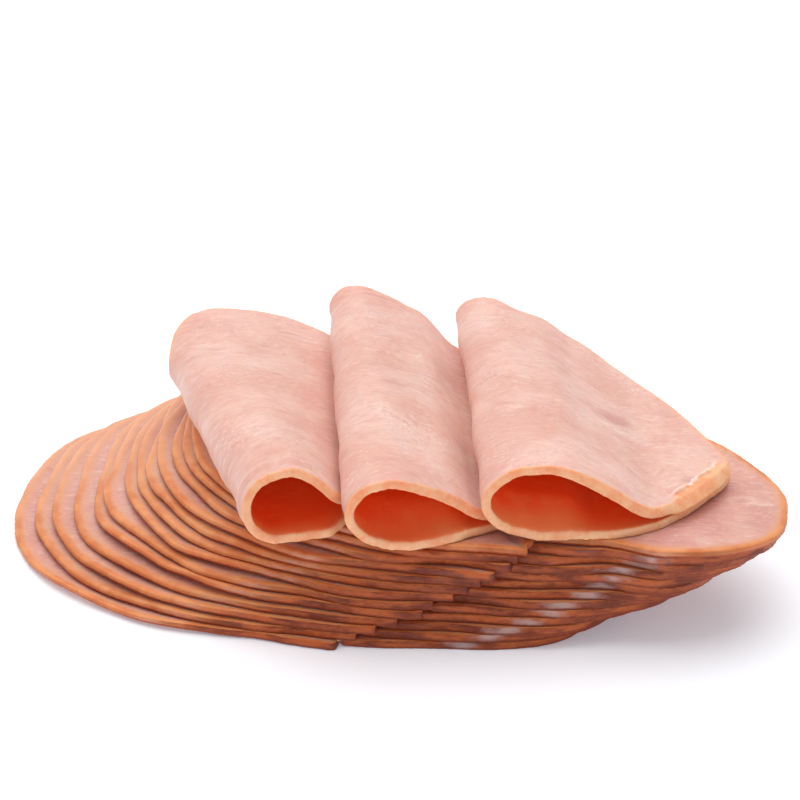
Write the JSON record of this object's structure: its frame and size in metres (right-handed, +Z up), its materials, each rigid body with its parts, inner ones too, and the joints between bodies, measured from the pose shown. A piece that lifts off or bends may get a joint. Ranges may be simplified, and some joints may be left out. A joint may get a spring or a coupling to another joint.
{
  "type": "sliced chicken breast",
  "caption": "Leaning stack of thin oval slices of cooked chicken breast with a notch down its front, topped by softly folded slices lying side by side.",
  "frame": {"origin": "middle of the footprint's bounding box, at the height of the surface the stack rests on", "axes": "+X to the right along the stack's length, the way it leans; +Y towards its back; +Z up"},
  "size_m": [0.1886, 0.1124, 0.0473],
  "materials": {
    "flat_slice_meat": "moist cooked meat with a smoked rind",
    "folded_slice_meat": "moist cooked meat with a smoked rind"
  },
  "bodies": {
    "root": {"slice_01": "flat_slice_meat", "slice_02": "flat_slice_meat", "slice_03": "flat_slice_meat", "slice_04": "flat_slice_meat", "slice_05": "flat_slice_meat", "slice_06": "flat_slice_meat", "slice_07": "flat_slice_meat", "slice_08": "flat_slice_meat", "slice_09": "flat_slice_meat", "slice_10": "flat_slice_meat", "slice_11": "flat_slice_meat", "slice_12": "flat_slice_meat", "slice_13": "flat_slice_meat", "folded_slice_left": "folded_slice_meat", "folded_slice_middle": "folded_slice_meat", "folded_slice_right": "folded_slice_meat"}
  },
  "joints": []
}
